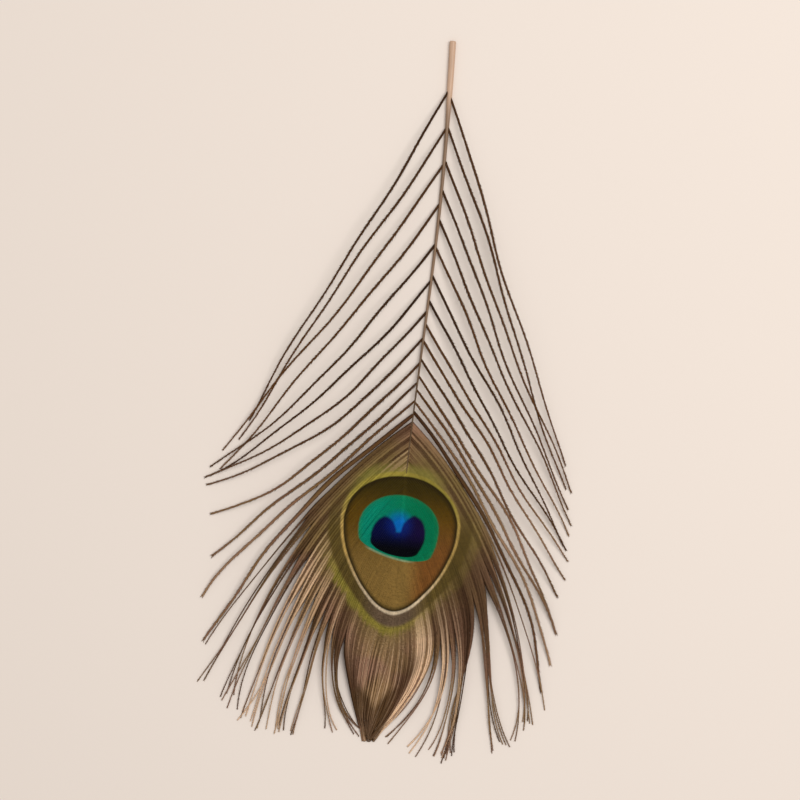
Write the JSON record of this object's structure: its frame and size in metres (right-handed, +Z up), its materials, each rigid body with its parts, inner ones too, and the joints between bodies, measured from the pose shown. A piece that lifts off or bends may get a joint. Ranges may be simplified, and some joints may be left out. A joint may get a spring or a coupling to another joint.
{
  "type": "peacock feather",
  "caption": "Peacock tail feather lying flat, with a tapering shaft, long loose barbs, a dense egg-shaped eye and a fringe fanning out past it.",
  "frame": {"origin": "on the surface that the feather lies on, under the centre of its bounding box", "axes": "+Z up from the front of the feather, +Y along the shaft towards the cut butt, +X across the vane"},
  "size_m": [0.1306, 0.2566, 0.007],
  "materials": {
    "feather": "satin barbs with a metallic sheen in the eye"
  },
  "bodies": {
    "root": {"feather": "feather"}
  },
  "joints": []
}
